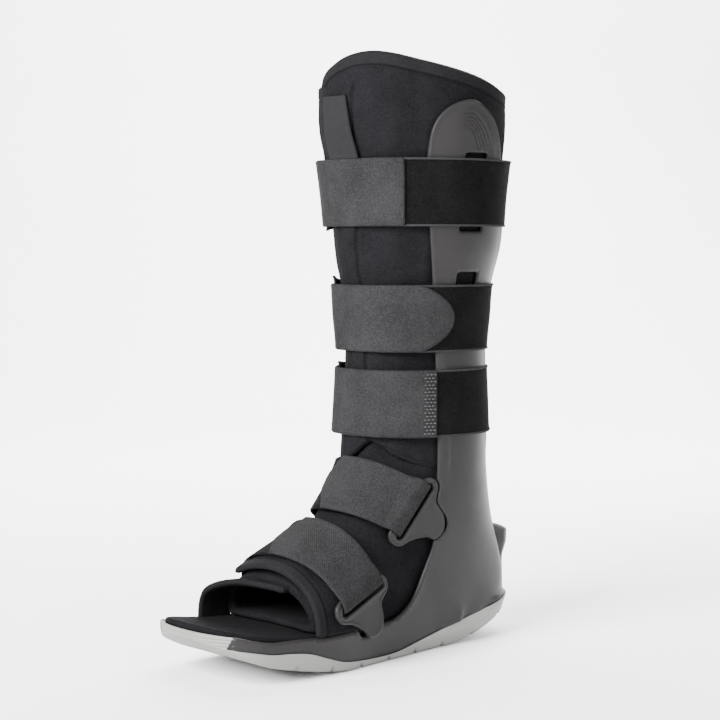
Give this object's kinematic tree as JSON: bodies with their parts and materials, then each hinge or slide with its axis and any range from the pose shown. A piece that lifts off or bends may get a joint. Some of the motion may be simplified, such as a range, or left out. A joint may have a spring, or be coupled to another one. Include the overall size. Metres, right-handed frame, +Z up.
{
  "type": "walking boot",
  "caption": "Tall padded walking boot: moulded shell with two uprights, soft wrap liner, hook-and-loop straps, open toe and rocker sole.",
  "frame": {"origin": "on the floor under the middle of the boot's bounding box", "axes": "+Z up along the shaft, toe towards -Y, the strap loops on the +X side"},
  "size_m": [0.1342, 0.289, 0.414],
  "materials": {
    "outsole": "satin light grey rubber",
    "shell": "satin dark grey, finely textured",
    "footbed": "foam under black fabric",
    "liner": "black brushed fabric over foam",
    "strap": "finely woven grey",
    "pile": "black looped pile",
    "loop": "satin dark grey",
    "tab": "smooth woven grey, blank"
  },
  "bodies": {
    "root": {"outsole": "outsole", "shell": "shell", "footbed": "footbed", "shaft_liner": "liner", "foot_liner": "liner", "ankle_liner": "liner", "forefoot_flap": "liner", "toe_flap": "liner", "label_tab": "tab", "shaft_strap_upper": "strap", "shaft_pile_upper": "pile", "shaft_strap_middle": "strap", "shaft_pile_middle": "pile", "shaft_strap_lower": "strap", "shaft_pile_lower": "pile", "instep_loop": "loop", "instep_strap": "strap", "instep_pile": "pile", "toe_loop": "loop", "toe_strap": "strap", "toe_pile": "pile"}
  },
  "joints": []
}
